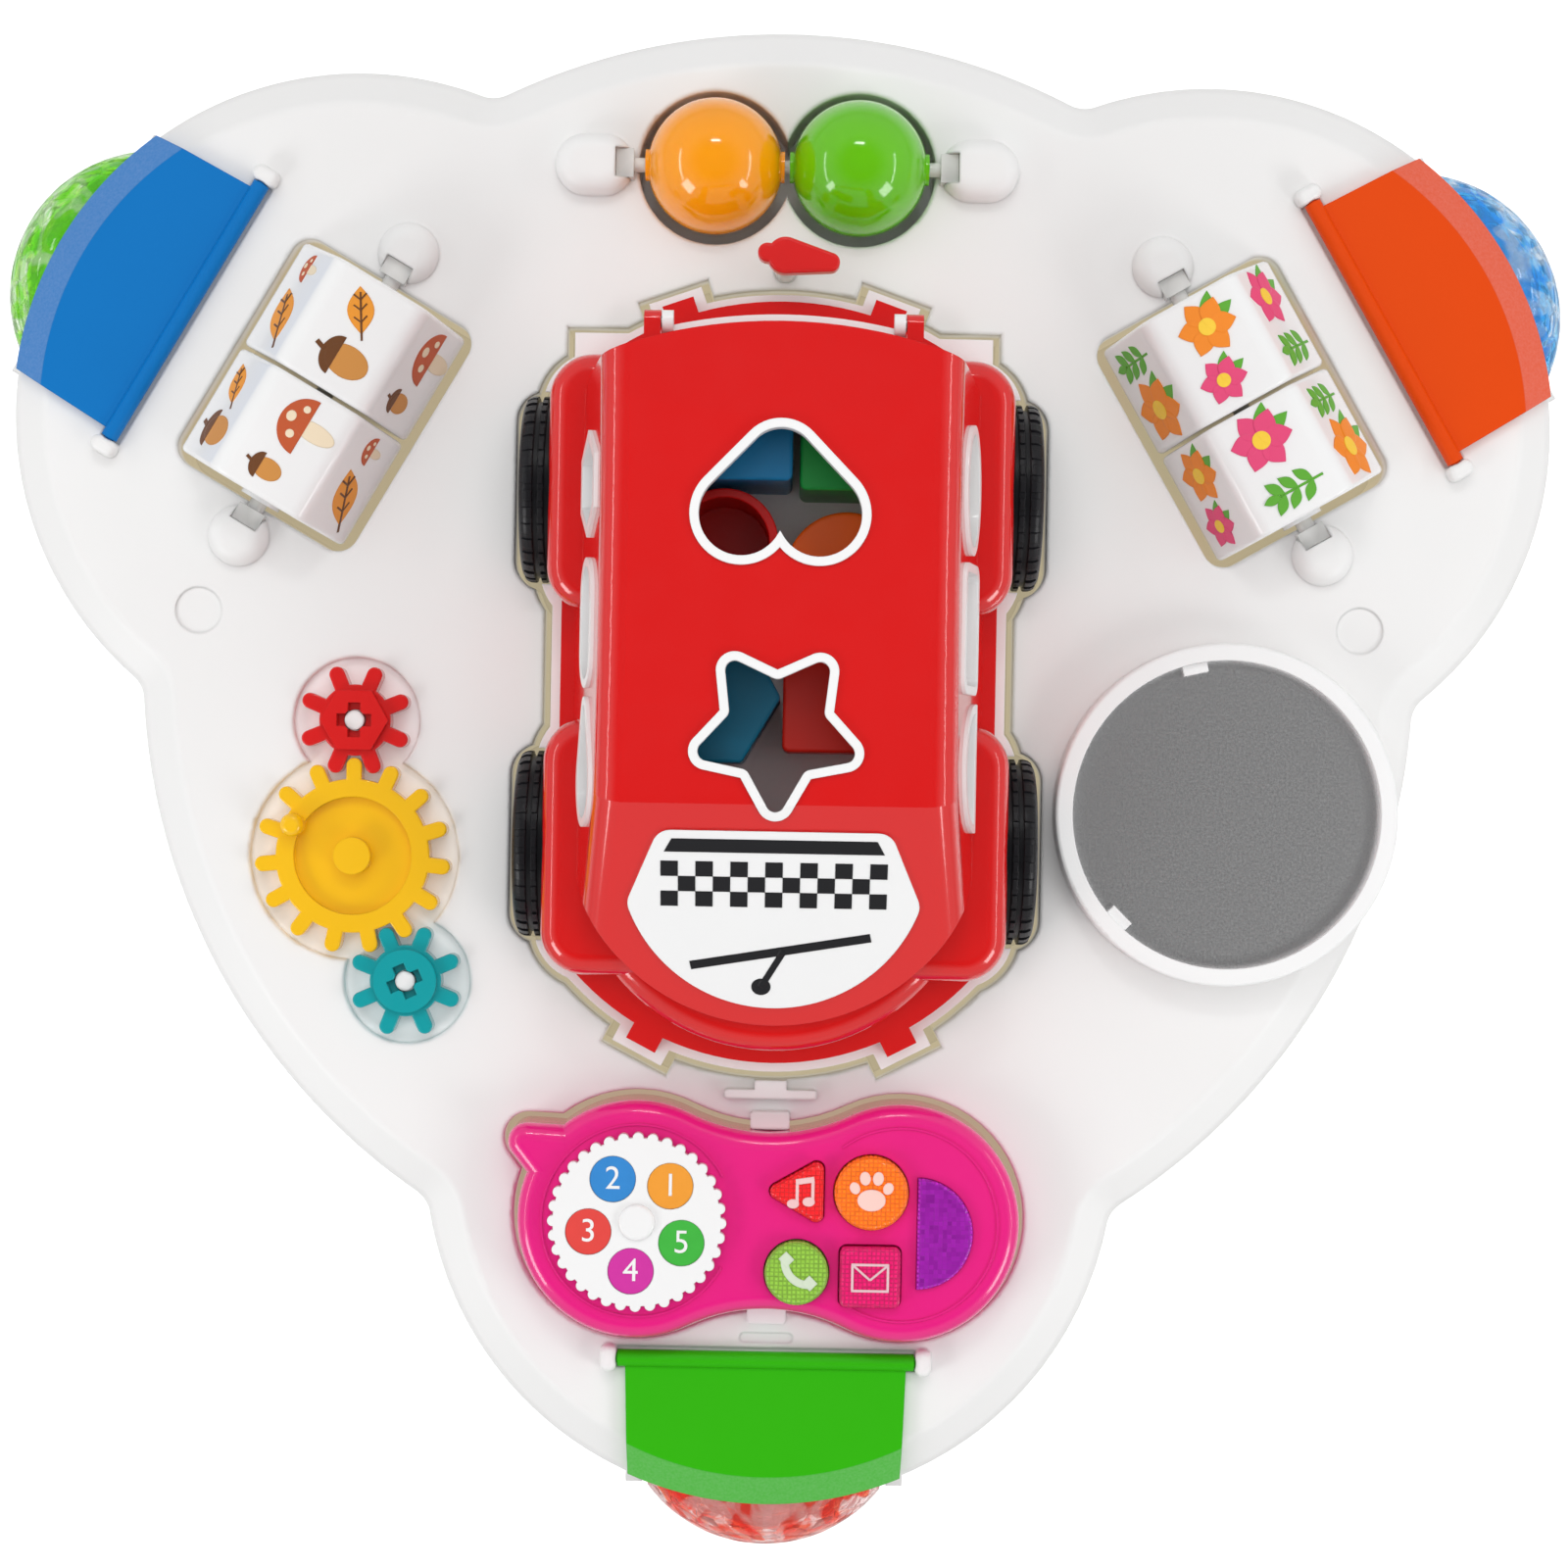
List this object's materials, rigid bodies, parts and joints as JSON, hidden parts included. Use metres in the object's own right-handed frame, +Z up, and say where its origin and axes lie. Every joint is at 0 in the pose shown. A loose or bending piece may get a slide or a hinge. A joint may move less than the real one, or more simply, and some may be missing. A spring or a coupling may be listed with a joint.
{
  "type": "toddler activity table",
  "caption": "Three-lobed toddler activity table on splayed legs, with a lift-off shape-sorter car, toy phone, gears, spinning rollers and balls, mirror and hinged corner flaps.",
  "frame": {"origin": "on the floor, under the middle of the footprint", "axes": "+Z up; -Y towards the green corner and the phone; +X to the right for a child standing at the phone"},
  "size_m": [0.448, 0.432, 0.401],
  "materials": {
    "white": "satin moulded",
    "base_white": "moulded",
    "steel": "bright",
    "blue": "gloss",
    "orange": "gloss",
    "green": "gloss",
    "red": "gloss",
    "yellow": "gloss",
    "teal": "gloss",
    "pink": "gloss",
    "magenta": "gloss",
    "purple": "translucent gloss",
    "clear": "clear plastic",
    "clear_green": "tinted clear plastic",
    "clear_blue": "tinted clear plastic",
    "clear_red": "tinted clear plastic",
    "mirror": "polished",
    "rubber": "soft",
    "grey_rubber": "soft",
    "tyre": "satin",
    "board": "coated",
    "black": "moulded",
    "cell": "printed can"
  },
  "bodies": {
    "table": {"table_top": "white", "table_base": "base_white", "table_screws": "steel", "leg_green": "green", "leg_orange": "orange", "leg_blue": "blue", "leg_feet": "rubber", "corner_axles": "steel", "picture_axles": "clear", "ball_axle": "clear", "pointer_post": "clear", "mirror_bezel": "white", "mirror_disc": "mirror"},
    "flap_green_lid": {"flap_green": "green"},
    "roller_red_barrel": {"corner_roller_red": "clear_red"},
    "flap_orange_lid": {"flap_orange": "orange"},
    "roller_blue_barrel": {"corner_roller_blue": "clear_blue"},
    "flap_blue_lid": {"flap_blue": "blue"},
    "roller_green_barrel": {"corner_roller_green": "clear_green"},
    "barrel_left_back": {"picture_barrel_left_back": "white"},
    "barrel_left_front": {"picture_barrel_left_front": "white"},
    "barrel_right_back": {"picture_barrel_right_back": "white"},
    "barrel_right_front": {"picture_barrel_right_front": "white"},
    "ball_orange": {"spin_ball_orange": "orange"},
    "ball_green": {"spin_ball_green": "green"},
    "pointer_arm": {"pointer": "red"},
    "yellow_gear": {"gear_yellow": "yellow"},
    "red_gear": {"gear_red": "red"},
    "teal_gear": {"gear_teal": "teal"},
    "car": {"car_body": "red", "car_chassis": "white", "window_rims": "white", "windscreen_panel": "white", "car_screws": "steel", "block_cuboid": "blue", "block_wedge": "green", "block_cup": "red", "block_hexagon": "teal", "block_square": "red", "block_disc": "orange"},
    "hatch": {"rear_hatch": "white"},
    "front_wheel_pair": {"front_wheels": "tyre", "front_axle": "steel"},
    "rear_wheel_pair": {"rear_wheels": "tyre", "rear_axle": "steel"},
    "phone": {"phone_front": "pink", "phone_back": "pink", "phone_lens": "purple", "button_membrane": "grey_rubber", "phone_pcb": "board", "phone_speaker": "black", "phone_batteries": "cell", "battery_door": "pink", "phone_screws": "steel"},
    "dial": {"phone_dial": "white", "dial_inserts": "yellow"},
    "triangle_button": {"button_triangle": "red"},
    "orange_button": {"button_orange": "orange"},
    "green_button": {"button_green": "green"},
    "square_button": {"button_square": "magenta"}
  },
  "joints": [
    {"name": "flap_green_hinge", "type": "hinge", "parent": "table", "child": "flap_green_lid", "pos_m": [0, -0.158, 0.3324], "axis": [-1, 0, 0], "range_deg": [0, 90]},
    {"name": "roller_red_spin", "type": "hinge", "parent": "table", "child": "roller_red_barrel", "pos_m": [0, -0.194, 0.3025], "axis": [-1, 0, 0], "continuous": true},
    {"name": "flap_orange_hinge", "type": "hinge", "parent": "table", "child": "flap_orange_lid", "pos_m": [0.16801, 0.133, 0.3324], "axis": [0.5, -0.866, 0], "range_deg": [0, 90]},
    {"name": "roller_blue_spin", "type": "hinge", "parent": "table", "child": "roller_blue_barrel", "pos_m": [0.19919, 0.151, 0.3025], "axis": [0.5, -0.866, 0], "continuous": true},
    {"name": "flap_blue_hinge", "type": "hinge", "parent": "table", "child": "flap_blue_lid", "pos_m": [-0.16801, 0.133, 0.3324], "axis": [0.5, 0.866, 0], "range_deg": [0, 90]},
    {"name": "roller_green_spin", "type": "hinge", "parent": "table", "child": "roller_green_barrel", "pos_m": [-0.19919, 0.151, 0.3025], "axis": [0.5, 0.866, 0], "continuous": true},
    {"name": "barrel_left_back_spin", "type": "hinge", "parent": "table", "child": "barrel_left_back", "pos_m": [-0.12904, 0.1105, 0.33], "axis": [0.5, 0.866, 0], "continuous": true},
    {"name": "barrel_left_front_spin", "type": "hinge", "parent": "table", "child": "barrel_left_front", "pos_m": [-0.12904, 0.1105, 0.33], "axis": [0.5, 0.866, 0], "continuous": true},
    {"name": "barrel_right_back_spin", "type": "hinge", "parent": "table", "child": "barrel_right_back", "pos_m": [0.12904, 0.1105, 0.33], "axis": [0.5, -0.866, 0], "continuous": true},
    {"name": "barrel_right_front_spin", "type": "hinge", "parent": "table", "child": "barrel_right_front", "pos_m": [0.12904, 0.1105, 0.33], "axis": [0.5, -0.866, 0], "continuous": true},
    {"name": "ball_orange_spin", "type": "hinge", "parent": "table", "child": "ball_orange", "pos_m": [-0.0202, 0.1763, 0.332], "axis": [1, 0, 0], "continuous": true},
    {"name": "ball_green_spin", "type": "hinge", "parent": "table", "child": "ball_green", "pos_m": [0.0202, 0.1763, 0.332], "axis": [1, 0, 0], "continuous": true},
    {"name": "pointer_spin", "type": "hinge", "parent": "table", "child": "pointer_arm", "pos_m": [0, 0.1475, 0.354], "axis": [0, 0, 1], "continuous": true},
    {"name": "gear_yellow_spin", "type": "hinge", "parent": "table", "child": "yellow_gear", "pos_m": [-0.1182, -0.0188, 0.33], "axis": [0, 0, 1], "continuous": true},
    {"name": "gear_red_spin", "type": "hinge", "parent": "table", "child": "red_gear", "pos_m": [-0.1182, 0.0192, 0.33], "axis": [0, 0, 1], "continuous": true},
    {"name": "gear_teal_spin", "type": "hinge", "parent": "table", "child": "teal_gear", "pos_m": [-0.10274, -0.05352, 0.33], "axis": [0, 0, 1], "continuous": true},
    {"name": "car_lift", "type": "slide", "parent": "table", "child": "car", "axis": [0, 0, 1], "range_m": [0, 0.1]},
    {"name": "hatch_hinge", "type": "hinge", "parent": "car", "child": "hatch", "pos_m": [0, 0.1245, 0.388], "axis": [1, 0, 0], "range_deg": [0, 75]},
    {"name": "front_wheels_spin", "type": "hinge", "parent": "car", "child": "front_wheel_pair", "pos_m": [0, -0.0144, 0.3315], "axis": [1, 0, 0], "continuous": true},
    {"name": "rear_wheels_spin", "type": "hinge", "parent": "car", "child": "rear_wheel_pair", "pos_m": [0, 0.0847, 0.3315], "axis": [1, 0, 0], "continuous": true},
    {"name": "phone_lift", "type": "slide", "parent": "table", "child": "phone", "axis": [0, 0, 1], "range_m": [0, 0.06]},
    {"name": "dial_spin", "type": "hinge", "parent": "phone", "child": "dial", "pos_m": [-0.0362, -0.118, 0.344], "axis": [0, 0, 1], "continuous": true},
    {"name": "triangle_button_press", "type": "slide", "parent": "phone", "child": "triangle_button", "axis": [0, 0, -1], "range_m": [0, 0.002], "stiffness_N_per_m": 150},
    {"name": "orange_button_press", "type": "slide", "parent": "phone", "child": "orange_button", "axis": [0, 0, -1], "range_m": [0, 0.002], "stiffness_N_per_m": 150},
    {"name": "green_button_press", "type": "slide", "parent": "phone", "child": "green_button", "axis": [0, 0, -1], "range_m": [0, 0.002], "stiffness_N_per_m": 150},
    {"name": "square_button_press", "type": "slide", "parent": "phone", "child": "square_button", "axis": [0, 0, -1], "range_m": [0, 0.002], "stiffness_N_per_m": 150}
  ],
  "couplings": [
    {"joint": "gear_red_spin", "follows": "gear_yellow_spin", "ratio": -1.875},
    {"joint": "gear_teal_spin", "follows": "gear_yellow_spin", "ratio": -1.875}
  ]
}
